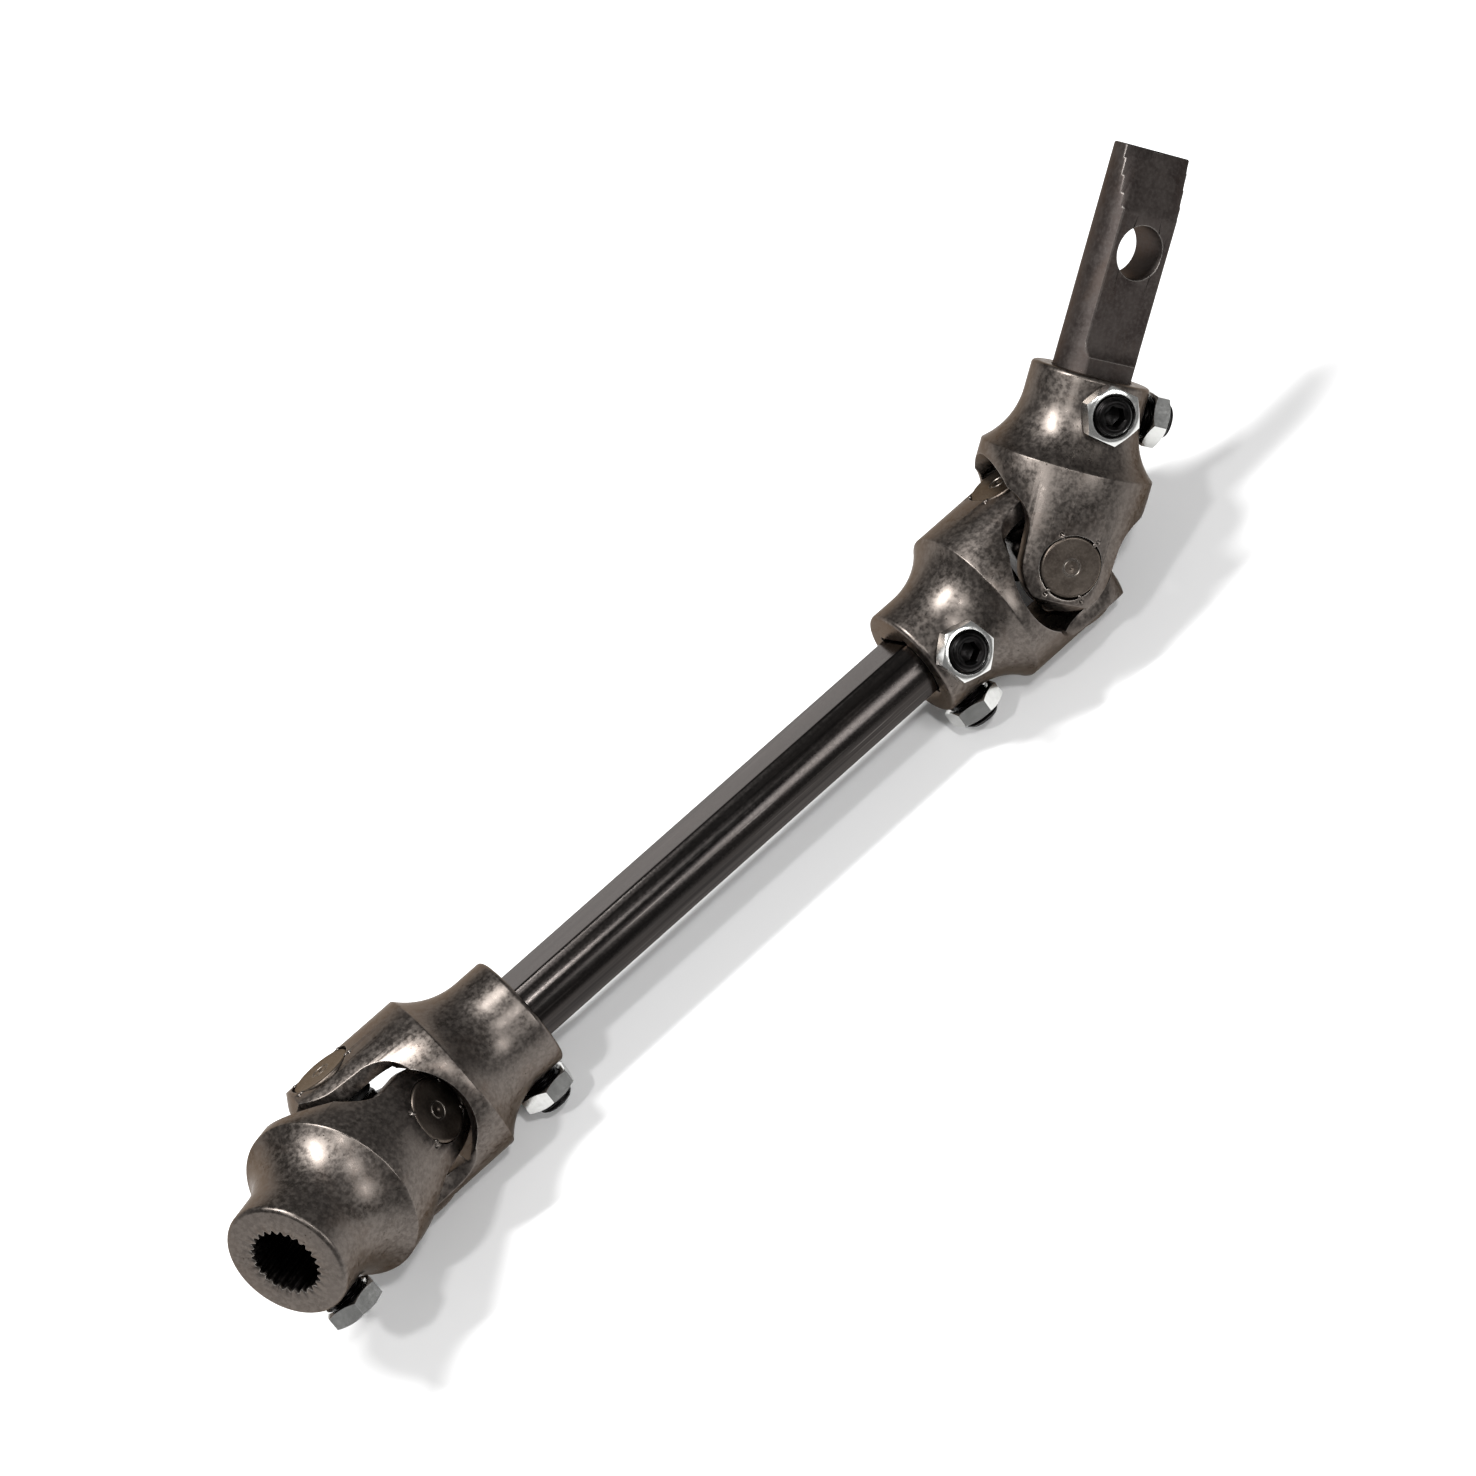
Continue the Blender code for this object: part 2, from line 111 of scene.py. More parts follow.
TANG_HOLE_RADIUS = 6.5 * MM
SPLINE_TEETH = 26
SPLINE_MAJOR = 8.6 * MM
SPLINE_MINOR = 7.7 * MM
SCREW_HEIGHT = 37.0 * MM
SCREW_RADIUS = 4.7 * MM
THREAD_PITCH = 1.06 * MM
THREAD_DEPTH = 0.5 * MM
SOCKET_FLATS = 4.7 * MM
SOCKET_DEPTH = 4.0 * MM
NUT_FLATS = 12.7 * MM
NUT_SEAT = 16.0 * MM
NUT_FACE = 20.4 * MM
FLAT_PHASE = 3.75
GAP = 0.3 * MM
STAKE_ANGLE = 33.0
STAKE_REACH = 8.75 * MM
STAKE_RADIUS = 0.62 * MM
BORE_SHADE_REACH = 10.3 * MM  # everything nearer the hub axis is bore wall, painted in shade
STAKE_SIDES = (STAKE_ANGLE, -STAKE_ANGLE, 180 - STAKE_ANGLE, 180 + STAKE_ANGLE)
FLAT_CORNER = 0.25 * MM  # rounding where a flat meets the round of a bar
BAR_SEGMENTS = 224
CAMERA_LENS = 76.03
CAMERA_SENSOR = 36.0
CAMERA_OFFSET = (-0.0394, -0.3283, 0.6416)  # from the lower joint's centre
CAMERA_TURN = (29.436, 9.489, -42.063)
ALONG_SHAFT = (0.75, 0.66, 0)  # the shaft's direction in camera axes
ROOM_LIGHT = 0.27
FULL = 2 * math.pi

record = frame["record"]
joints = {item["name"]: item for item in record["behaviour"]["joints"]}
mounts = {item["name"]: item for item in record["mounts"]}


# Frames.

def axes(origin, x_axis, z_axis):
    """Frame at origin with Z along z_axis and X as close to x_axis as it can be."""
    z = Vector(z_axis).normalized()
    x = Vector(x_axis)
    x = (x - z * x.dot(z)).normalized()
    y = z.cross(x)
    rows = [(x[i], y[i], z[i], origin[i]) for i in range(3)]
    return Matrix((*rows, (0, 0, 0, 1)))


def around_z(degrees):
    return Matrix.Rotation(math.radians(degrees), 4, "Z")


def lie_on_x():
    """Turns a shape drawn along Z so it runs along X, with its X pointing along Y."""
    return Matrix(((0, 0, 1, 0), (1, 0, 0, 0), (0, 1, 0, 0), (0, 0, 0, 1)))


def radial(degrees, height):
    return around_z(degrees) @ Matrix.Translation((0, 0, height)) @ lie_on_x()


LOWER = Vector(joints["lower_shaft_pin"]["pos_m"])
UPPER = Vector(joints["upper_shaft_pin"]["pos_m"])
ALONG = (UPPER - LOWER).normalized()
LOWER_SHAFT_PIN = Vector(joints["lower_shaft_pin"]["axis"])
LOWER_YOKE_PIN = Vector(joints["lower_yoke_pin"]["axis"])
UPPER_SHAFT_PIN = Vector(joints["upper_shaft_pin"]["axis"])
UPPER_YOKE_PIN = Vector(joints["upper_yoke_pin"]["axis"])
SPLINED_HUB = Vector(mounts["splined_hub_face"]["axis"])
COLUMN_HUB = Vector(mounts["tang_end"]["axis"])
TANG_FRONT = Vector(mounts["tang_front_flat"]["axis"])

PLACES = {
    "shaft_lower": axes(LOWER, LOWER_SHAFT_PIN, ALONG),
    "shaft_upper": axes(UPPER, UPPER_SHAFT_PIN, -ALONG),
    "splined_yoke": axes(LOWER, -LOWER_YOKE_PIN, SPLINED_HUB),
    "column_yoke": axes(UPPER, UPPER_YOKE_PIN, COLUMN_HUB),
    "lower_cross": axes(LOWER, LOWER_SHAFT_PIN, LOWER_SHAFT_PIN.cross(LOWER_YOKE_PIN)),
    "upper_cross": axes(UPPER, UPPER_SHAFT_PIN, UPPER_SHAFT_PIN.cross(UPPER_YOKE_PIN)),
    "tang": axes(UPPER, TANG_FRONT, COLUMN_HUB),
}
BODIES = {
    "shaft_lower": "intermediate_shaft",
    "shaft_upper": "intermediate_shaft",
    "splined_yoke": "splined_yoke",
    "column_yoke": "column_yoke",
}
UPPER_FLAT_PHASE = 3.75  # the same flats, seen from the other end
SCREW_ANGLES = {
    "shaft_lower": (180 + FLAT_PHASE, 270 + FLAT_PHASE),
    "shaft_upper": (180 + UPPER_FLAT_PHASE, 270 + UPPER_FLAT_PHASE),
    "splined_yoke": (90,),
    "column_yoke": (0, 90),
}
SCREW_TIPS = {
    "shaft_lower": (SHAFT_FLAT + GAP, SHAFT_RADIUS + GAP),
    "shaft_upper": (SHAFT_FLAT + GAP, SHAFT_RADIUS + GAP),
    "splined_yoke": (SPLINE_MAJOR + GAP,),
    "column_yoke": (TANG_FLAT + 1.4 * MM, TANG_RADIUS + GAP),
}
SCREW_ENDS = {
    "shaft_lower": (22.8 * MM, 22.0 * MM),
    "shaft_upper": (22.6 * MM, 21.3 * MM),
    "splined_yoke": (20.0 * MM,),
    "column_yoke": (21.3 * MM, 22.4 * MM),
}
NUT_TURNS = {
    "shaft_lower": (12, 25),
    "shaft_upper": (58, 16),
    "splined_yoke": (40,),
    "column_yoke": (50, 9),
}


# Mesh helpers.

def arc(centre, radius, start, end, steps):
    points = []
    for step in range(steps + 1):
        angle = math.radians(start + (end - start) * step / steps)
        points.append((centre[0] + radius * math.cos(angle), centre[1] + radius * math.sin(angle)))
    return points


def to_mesh(name, edit, sharp=32):
    """Finished mesh with smooth faces and sharp edges past an angle."""
    bmesh.ops.recalc_face_normals(edit, faces=edit.faces)
    for face in edit.faces:
        face.smooth = True
    for edge in edit.edges:
        edge.smooth = len(edge.link_faces) == 2 and edge.calc_face_angle() < math.radians(sharp)
    mesh = bpy.data.meshes.new(name)
    edit.to_mesh(mesh)
    edit.free()
    return mesh


def ring(edit, radius, height, segments):
    verts = []
    for step in range(segments):
        angle = FULL * step / segments
        reach = radius(angle) if callable(radius) else radius
        lift = height(angle) if callable(height) else height
        verts.append(edit.verts.new((reach * math.cos(angle), reach * math.sin(angle), lift)))
    return verts


def skin(edit, lower, upper):
    count = len(lower)
    for step in range(count):
        after = (step + 1) % count
        edit.faces.new((lower[step], lower[after], upper[after], upper[step]))


def cap(edit, verts, centre):
    hub = edit.verts.new(centre)
    count = len(verts)
    for step in range(count):
        edit.faces.new((verts[step], verts[(step + 1) % count], hub))


def lathe(name, outline, segments=96, sharp=32, closed=False):
    """Solid turned about Z. A closed outline makes a ring; an open one is capped on the axis."""
    edit = bmesh.new()
    rings = [ring(edit, radius, height, segments) for radius, height in outline if radius > 0]
    for lower, upper in zip(rings, rings[1:]):
        skin(edit, lower, upper)
    if closed:
        skin(edit, rings[-1], rings[0])
    else:
        cap(edit, rings[0], (0, 0, outline[0][1]))
        cap(edit, rings[-1], (0, 0, outline[-1][1]))
    return to_mesh(name, edit, sharp)


def extrude(name, outline, low, high, sharp=32):
    edit = bmesh.new()
    base = edit.faces.new([edit.verts.new((x, y, low)) for x, y in outline])
    lifted = bmesh.ops.extrude_face_region(edit, geom=[base])
    top = [item for item in lifted["geom"] if isinstance(item, bmesh.types.BMVert)]
    bmesh.ops.translate(edit, verts=top, vec=(0, 0, high - low))
    return to_mesh(name, edit, sharp)


def join(name, parts):
    """One mesh from several, each with a matrix."""
    edit = bmesh.new()
    for mesh, matrix in parts:
        moved = mesh.copy()
        moved.transform(matrix)
        edit.from_mesh(moved)
        bpy.data.meshes.remove(moved)
    return to_mesh(name, edit)


def carve(name, mesh, cuts, adds=(), bevel=EDGE_BREAK, limit=28, sharp=32):
    """Mesh with cutters taken away, lumps added, and its edges broken."""
    scene = bpy.context.scene.collection
    body = bpy.data.objects.new(name, mesh)
    scene.objects.link(body)
    helpers = []
    for kind, items in (("UNION", adds), ("DIFFERENCE", cuts)):
        for cutter, matrix in items:
            helper = bpy.data.objects.new(f"{name}_helper", cutter)
            helper.matrix_world = matrix
            scene.objects.link(helper)
            helpers.append(helper)
            step = body.modifiers.new("cut", "BOOLEAN")
            step.operation = kind
            step.solver = "EXACT"
            step.object = helper
    bpy.context.view_layer.update()
    shape = body.evaluated_get(bpy.context.evaluated_depsgraph_get())
    edit = bmesh.new()
    edit.from_mesh(shape.to_mesh())
    shape.to_mesh_clear()
    body.modifiers.clear()
    for helper in helpers:
        bpy.data.objects.remove(helper)
    bpy.data.objects.remove(body)
    bmesh.ops.remove_doubles(edit, verts=edit.verts, dist=0.03 * MM)
    bmesh.ops.dissolve_degenerate(edit, edges=edit.edges, dist=0.02 * MM)
    if bevel:
        corners = []
        for edge in edit.edges:
            if len(edge.link_faces) == 2 and edge.calc_face_angle() > math.radians(limit):
                corners.append(edge)
        bmesh.ops.bevel(
            edit,
            geom=corners,
            offset=bevel,
            offset_type="OFFSET",
            segments=2,
            profile=0.5,
            affect="EDGES",
            clamp_overlap=False,
            loop_slide=True,
        )
        bmesh.ops.remove_doubles(edit, verts=edit.verts, dist=0.004 * MM)
    bmesh.ops.dissolve_degenerate(edit, edges=edit.edges, dist=0.004 * MM)
    return to_mesh(name, edit, sharp)


def place(name, mesh, matrix, body, look, nodes=()):
    """Puts a finished mesh in the row frame, riding on its body and standing for CAD nodes.

    The drawing coordinates stay on the mesh as an attribute, which the materials read.
    """
    drawn = mesh.attributes.new("drawn", "FLOAT_VECTOR", "POINT")
    flat = [value for vertex in mesh.vertices for value in vertex.co]
    drawn.data.foreach_set("vector", flat)
    mesh.transform(matrix)
    item = bpy.data.objects.new(name, mesh)
    bpy.context.scene.collection.objects.link(item)
    mesh.materials.clear()
    mesh.materials.append(look)
    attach(item, body)
    if nodes:
        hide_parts(*nodes)
    return item


# Materials. Their coordinates are in metres, with Z along the turning or drawing direction.

class Look:
    """Small helper that wires a Principled material from noise layers."""

    def __init__(self, name):
        self.material = bpy.data.materials.new(name)
        self.material.use_nodes = True
        self.tree = self.material.node_tree
        self.shader = self.tree.nodes["Principled BSDF"]
        drawn = self.tree.nodes.new("ShaderNodeAttribute")
        drawn.attribute_name = "drawn"
        self.coords = drawn.outputs["Vector"]

    def set(self, **values):
        for key, value in values.items():
            self.shader.inputs[key.replace("_", " ")].default_value = value
        return self

    def link(self, source, target):
        self.tree.links.new(source, target)
        return source

    def node(self, kind, **values):
        made = self.tree.nodes.new(kind)
        for key, value in values.items():
            setattr(made, key, value)
        return made

    def scaled(self, stretch):
        mapping = self.node("ShaderNodeMapping")
        mapping.inputs["Scale"].default_value = stretch
        self.link(self.coords, mapping.inputs["Vector"])
        return mapping.outputs["Vector"]

    def noise(self, scale, detail=3.0, rough=0.55, stretch=None, warp=0.0):
        made = self.node("ShaderNodeTexNoise")
        made.inputs["Scale"].default_value = scale
        made.inputs["Detail"].default_value = detail
        made.inputs["Roughness"].default_value = rough
        made.inputs["Distortion"].default_value = warp
        self.link(self.scaled(stretch) if stretch else self.coords, made.inputs["Vector"])
        return made.outputs["Fac"]

    def rings(self, scale):
        """Noise that changes only with the distance from Z, as facing cuts leave it."""
        flat = self.scaled((1, 1, 0))
        reach = self.node("ShaderNodeVectorMath", operation="LENGTH")
        self.link(flat, reach.inputs[0])
        made = self.node("ShaderNodeTexNoise", noise_dimensions="1D")
        made.inputs["Scale"].default_value = scale
        made.inputs["Detail"].default_value = 2.0
        self.link(reach.outputs["Value"], made.inputs["W"])
        return made.outputs["Fac"]

    def spots(self, scale, low, high):
        """Small round pits: 1 inside a pit, 0 outside."""
        made = self.node("ShaderNodeTexVoronoi")
        made.inputs["Scale"].default_value = scale
        made.inputs["Randomness"].default_value = 1.0
        self.link(self.coords, made.inputs["Vector"])
        return self.ramp(made.outputs["Distance"], low, high, 1.0, 0.0)

    def ramp(self, source, low, high, first=0.0, last=1.0):
        made = self.node("ShaderNodeMapRange")
        made.inputs["From Min"].default_value = low
        made.inputs["From Max"].default_value = high
        made.inputs["To Min"].default_value = first
        made.inputs["To Max"].default_value = last
        made.clamp = True
        self.link(source, made.inputs["Value"])
        return made.outputs["Result"]

    def maths(self, kind, one, two):
        made = self.node("ShaderNodeMath", operation=kind)
        for index, value in enumerate((one, two)):
            if isinstance(value, (int, float)):
                made.inputs[index].default_value = value
            else:
                self.link(value, made.inputs[index])
        return made.outputs["Value"]

    def blend(self, amount, one, two):
        made = self.node("ShaderNodeMix", data_type="RGBA", blend_type="MIX")
        self.link(amount, made.inputs["Factor"])
        for index, value in ((6, one), (7, two)):
            if isinstance(value, tuple):
                made.inputs[index].default_value = (*value, 1.0)
            else:
                self.link(value, made.inputs[index])
        return made.outputs[2]

    def edges(self, radius):
        """1 on convex and concave edges, 0 on open surface."""
        rounded = self.node("ShaderNodeBevel", samples=4)
        rounded.inputs["Radius"].default_value = radius
        plain = self.node("ShaderNodeNewGeometry").outputs["Normal"]
        product = self.node("ShaderNodeVectorMath", operation="DOT_PRODUCT")
        self.link(rounded.outputs["Normal"], product.inputs[0])
        self.link(plain, product.inputs[1])
        return self.ramp(product.outputs["Value"], 0.995, 0.90)

    def bore(self):
        """1 inside the hub bore, where the wall is painted near black as shade."""
        flat = self.scaled((1, 1, 0))
        reach = self.node("ShaderNodeVectorMath", operation="LENGTH")
        self.link(flat, reach.inputs[0])
        inside = self.ramp(reach.outputs["Value"], BORE_SHADE_REACH, BORE_SHADE_REACH + 0.1 * MM, 1.0, 0.0)
        split = self.node("ShaderNodeSeparateXYZ")
        self.link(self.coords, split.inputs[0])
        below = self.ramp(split.outputs["Z"], HUB_END - 0.9 * MM, HUB_END - 0.3 * MM, 1.0, 0.0)
        above = self.ramp(split.outputs["Z"], 12 * MM, 16 * MM)
        return self.maths("MULTIPLY", self.maths("MULTIPLY", inside, below), above)

    def finish(self, colour, roughness, height=None, bump=0.2, distance=0.05 * MM):
        self.link(colour, self.shader.inputs["Base Color"])
        self.link(roughness, self.shader.inputs["Roughness"])
        if height is not None:
            made = self.node("ShaderNodeBump")
            made.inputs["Strength"].default_value = bump
            made.inputs["Distance"].default_value = distance
            self.link(height, made.inputs["Height"])
            self.link(made.outputs["Normal"], self.shader.inputs["Normal"])
        return self.material


def yoke_look():
    """Oiled machined steel: brown-grey blotches, pits, turning marks, bright edges that are partly wear and
    partly painted highlight.
    """
    look = Look("oiled_machined_steel")
    look.set(Metallic=1.0, Specular_Tint=(0.50, 0.45, 0.41, 1.0))
    broad = look.noise(95.0, 4.0, 0.6)
    fine = look.noise(900.0, 4.0, 0.65)
    grain = look.noise(2600.0, 2.0, 0.5)
    turned = look.noise(1.0, 3.0, 0.6, stretch=(60, 60, 2600))
    pits = look.spots(620.0, 0.05, 0.16)
    sparse = look.ramp(look.noise(140.0, 2.0), 0.5, 0.62)
    pits = look.maths("MULTIPLY", pits, sparse)
    stain = look.ramp(look.noise(60.0, 5.0, 0.7, warp=0.6), 0.52, 0.72)
    worn_and_highlit_edges = look.edges(0.35 * MM)

    base = look.blend(look.ramp(broad, 0.35, 0.65), (0.066, 0.057, 0.051), (0.092, 0.080, 0.072))
    base = look.blend(look.maths("MULTIPLY", look.ramp(fine, 0.42, 0.62), 0.5), base, (0.165, 0.145, 0.130))
    base = look.blend(look.maths("MULTIPLY", stain, 0.25), base, (0.080, 0.052, 0.037))
    base = look.blend(pits, base, (0.02, 0.016, 0.013))
    # edges lightened: partly real wear, partly painted highlight
    base = look.blend(look.maths("MULTIPLY", worn_and_highlit_edges, 0.6), base, (0.36, 0.34, 0.32))
    # painted shade: the wall inside the hub bore is darkened to near black
    base = look.blend(look.maths("MULTIPLY", look.bore(), 0.88), base, (0.006, 0.005, 0.005))

    rough = look.ramp(broad, 0.3, 0.7, 0.29, 0.37)
    rough = look.maths("ADD", rough, look.ramp(fine, 0.35, 0.65, -0.06, 0.09))
    rough = look.maths("ADD", rough, look.maths("MULTIPLY", pits, 0.2))

    height = look.maths("ADD", look.maths("MULTIPLY", grain, 0.25), look.maths("MULTIPLY", turned, 0.35))
    height = look.maths("ADD", height, look.maths("MULTIPLY", fine, 0.5))
    height = look.maths("SUBTRACT", height, look.maths("MULTIPLY", pits, 1.2))
    return look.finish(base, rough, height, 0.35, 0.03 * MM)


def bar_look():
    """Black cold drawn bar: streaks along its length, faint scratches, thin oil."""
    look = Look("black_cold_drawn_steel")
    look.set(Metallic=1.0, Specular_Tint=(0.70, 0.68, 0.67, 1.0))
    streak = look.noise(1.0, 4.0, 0.6, stretch=(900, 900, 9))
    broad = look.noise(1.0, 3.0, 0.6, stretch=(160, 160, 26))
    fine = look.noise(1500.0, 3.0, 0.6)
    scratch = look.ramp(look.noise(1.0, 1.0, 0.4, stretch=(2200, 2200, 30)), 0.66, 0.74)
    worn_and_highlit_edges = look.edges(0.4 * MM)
    base = look.blend(look.ramp(streak, 0.35, 0.68), (0.018, 0.0165, 0.016), (0.040, 0.036, 0.034))
    base = look.blend(look.maths("MULTIPLY", look.ramp(broad, 0.45, 0.7), 0.3), base, (0.036, 0.030, 0.027))
    base = look.blend(look.maths("MULTIPLY", scratch, 0.30), base, (0.18, 0.165, 0.155))
    # edges lightened: partly real wear, partly painted highlight
    base = look.blend(look.maths("MULTIPLY", worn_and_highlit_edges, 0.4), base, (0.26, 0.25, 0.24))
    rough = look.ramp(streak, 0.3, 0.7, 0.14, 0.24)
    rough = look.maths("ADD", rough, look.ramp(fine, 0.35, 0.65, -0.03, 0.05))
    height = look.maths("ADD", look.maths("MULTIPLY", streak, 0.7), look.maths("MULTIPLY", fine, 0.35))
    return look.finish(base, rough, height, 0.16, 0.03 * MM)


def tang_look():
    """Dull grey milled bar with brown oil stains."""
    look = Look("dull_milled_steel")
    look.set(Metallic=1.0, Specular_Tint=(0.50, 0.46, 0.43, 1.0))
    broad = look.noise(110.0, 4.0, 0.65)
    fine = look.noise(1100.0, 4.0, 0.6)
    milled = look.noise(1.0, 2.0, 0.5, stretch=(300, 40, 1500))
    worn_and_highlit_edges = look.edges(0.45 * MM)
    stain = look.ramp(look.noise(75.0, 5.0, 0.7, warp=0.5), 0.5, 0.75)
    base = look.blend(look.ramp(broad, 0.35, 0.65), (0.038, 0.031, 0.029), (0.064, 0.055, 0.051))
    base = look.blend(look.maths("MULTIPLY", look.ramp(fine, 0.45, 0.65), 0.4), base, (0.088, 0.078, 0.073))
    base = look.blend(look.maths("MULTIPLY", stain, 0.4), base, (0.055, 0.036, 0.026))
    # edges lightened: partly real wear, partly painted highlight
    base = look.blend(look.maths("MULTIPLY", worn_and_highlit_edges, 0.7), base, (0.36, 0.34, 0.32))
    rough = look.ramp(broad, 0.3, 0.7, 0.42, 0.54)
    rough = look.maths("ADD", rough, look.ramp(fine, 0.35, 0.65, -0.03, 0.06))
    height = look.maths("ADD", look.maths("MULTIPLY", milled, 0.35), look.maths("MULTIPLY", fine, 0.5))
    return look.finish(base, rough, height, 0.30, 0.03 * MM)


def cup_look():
    """Drawn bearing cup: brown tint, facing rings, and a bright rim and edges that are partly wear and partly
    painted highlight.
    """
    look = Look("drawn_bearing_cup")
    look.set(Metallic=1.0, Specular_Tint=(0.50, 0.45, 0.40, 1.0))
    broad = look.noise(260.0, 4.0, 0.6)
    fine = look.noise(1800.0, 3.0, 0.6)
    faced = look.rings(5200.0)
    worn_and_highlit_edges = look.edges(0.35 * MM)
    base = look.blend(look.ramp(broad, 0.35, 0.65), (0.058, 0.046, 0.038), (0.088, 0.073, 0.061))
    base = look.blend(look.maths("MULTIPLY", look.ramp(fine, 0.45, 0.65), 0.3), base, (0.150, 0.128, 0.110))
    # edges lightened: partly real wear, partly painted highlight
    base = look.blend(look.maths("MULTIPLY", worn_and_highlit_edges, 0.45), base, (0.30, 0.28, 0.26))
    rough = look.ramp(broad, 0.3, 0.7, 0.33, 0.46)
    rough = look.maths("ADD", rough, look.ramp(faced, 0.3, 0.7, -0.04, 0.04))
    height = look.maths("ADD", look.maths("MULTIPLY", faced, 0.5), look.maths("MULTIPLY", fine, 0.3))
    return look.finish(base, rough, height, 0.30, 0.03 * MM)


def plain_metal(name, dark, light, scale, low, high, bump, edge=(0.85, 0.85, 0.86), edge_wear_highlight_share=0.5):
    """Metal with two noise scales, used for the small ground, plated and blackened pieces."""
    look = Look(name)
    look.set(Metallic=1.0)
    broad = look.noise(scale, 4.0, 0.6)
    fine = look.noise(scale * 7, 3.0, 0.6)
    faced = look.rings(3800.0)
    worn_and_highlit_edges = look.edges(0.3 * MM)
    base = look.blend(look.ramp(broad, 0.35, 0.65), dark, light)
    # edges take the edge colour: partly real wear, partly painted highlight
    base = look.blend(look.maths("MULTIPLY", worn_and_highlit_edges, edge_wear_highlight_share), base, edge)
    rough = look.ramp(broad, 0.3, 0.7, low, high)
    rough = look.maths("ADD", rough, look.ramp(fine, 0.35, 0.65, -0.03, 0.05))
    height = look.maths("ADD", look.maths("MULTIPLY", faced, 0.3), look.maths("MULTIPLY", fine, 0.4))
    return look.finish(base, rough, height, bump, 0.03 * MM)


def rubber_look():
    look = Look("black_seal_rubber")
    broad = look.noise(300.0, 3.0)
    fine = look.noise(3000.0, 2.0)
    base = look.blend(look.ramp(broad, 0.35, 0.65), (0.012, 0.012, 0.012), (0.030, 0.028, 0.027))
    rough = look.ramp(broad, 0.3, 0.7, 0.55, 0.75)
    return look.finish(base, rough, fine, 0.3, 0.05 * MM)


# The edge colours given to the small metals below are partly wear and partly painted highlight.
LOOKS = {
    "yoke": yoke_look(),
    "bar": bar_look(),
    "tang": tang_look(),
    "cup": cup_look(),
    "cross": plain_metal(
        "hardened_cross_steel", (0.035, 0.030, 0.027), (0.080, 0.070, 0.064),
        240.0, 0.35, 0.5, 0.3, (0.25, 0.23, 0.22), 0.4,
    ),
    "needle": plain_metal(
        "ground_needle_steel", (0.50, 0.50, 0.50), (0.66, 0.66, 0.66),
        500.0, 0.14, 0.24, 0.1,
    ),
    "zinc": plain_metal(
        "bright_zinc_plate", (0.50, 0.50, 0.485), (0.58, 0.58, 0.565),
        170.0, 0.14, 0.21, 0.08, (0.85, 0.85, 0.84), 0.75,
    ),
    "screw": plain_metal(
        "black_oxide_steel", (0.005, 0.005, 0.005), (0.011, 0.010, 0.010),
        420.0, 0.28, 0.42, 0.3, (0.030, 0.029, 0.028), 0.4,
    ),
    "rubber": rubber_look(),
}


# Cutters shared by the four yokes.

def slot_cutter():
    centre = ARCH_CROWN - ARCH_RADIUS
    side = math.degrees(math.acos(SLOT_HALF / ARCH_RADIUS))
    outline = [(-SLOT_HALF, -20 * MM), (SLOT_HALF, -20 * MM)]
    outline += arc((0, centre), ARCH_RADIUS, side, 180 - side, 48)
    return extrude("slot_cutter", outline, -30 * MM, 30 * MM)


def pocket_cutter():
    outline = [(0, -SLOT_HALF + 0.02 * MM)]
    steps = 28
    for step in range(steps + 1):
        across = (-1 + 2 * step / steps) * (SLOT_HALF - 0.02 * MM)
        outline.append((math.sqrt(POCKET_RADIUS ** 2 - across ** 2), across))
    outline.append((0, SLOT_HALF - 0.02 * MM))
    return lathe("pocket_cutter", outline, 160)


def side_cutter():
    outline = [(30 * MM, SCALLOP_HEIGHT + SCALLOP_RADIUS)]
    outline += arc((SCALLOP_CENTRE, SCALLOP_HEIGHT), SCALLOP_RADIUS, 90, 180, 30)
    outline += arc((0, 0), EAR_RADIUS, 0, -84, 36)
    outline += [(1.2 * MM, -16 * MM), (30 * MM, -16 * MM)]
    return extrude("side_cutter", outline, -25 * MM, 25 * MM)


def stake_cutter():
    """Eight punch marks round the two bearing bores, four on each ear."""
    punch = lathe("punch", [
        (0, -0.55 * MM),
        (0.18 * MM, -0.52 * MM),
        (0.55 * STAKE_RADIUS, -0.34 * MM),
        (STAKE_RADIUS, 0),
        (STAKE_RADIUS * 1.1, 1.0 * MM),
        (0, 1.0 * MM),
    ], 20)
    parts = []
    for turn in (0, 180):
        for side in STAKE_SIDES:
            across = STAKE_REACH * math.sin(math.radians(side))
            up = STAKE_REACH * math.cos(math.radians(side))
            out = math.sqrt(RIM_RADIUS ** 2 - across ** 2)
            lean = Matrix.Rotation(math.atan2(across, out), 4, "Z")
            spot = Matrix.Translation((out, across, up)) @ lean @ lie_on_x()
            parts.append((punch, around_z(turn) @ spot))
    return join("stake_cutter", parts)


def stake_lips():
    """Metal pushed over the cup edge beside each punch mark."""
    parts = []
    bead = lathe("bead", arc((0, 0), 1.0, -90, 90, 8)[1:-1], 16)
    bead.transform(Matrix.Diagonal((0.62 * MM, 0.50 * MM, 0.30 * MM, 1)))
    for turn in (0, 180):
        for side in STAKE_SIDES:
            reach = STAKE_REACH - 1.05 * MM
            across = reach * math.sin(math.radians(side))
            up = reach * math.cos(math.radians(side))
            spot = Matrix.Translation((CUP_FACE + 0.02 * MM, across, up)) @ lie_on_x() @ around_z(90 - side)
            parts.append((bead, around_z(turn) @ spot))
    return join("stake_lips", parts)


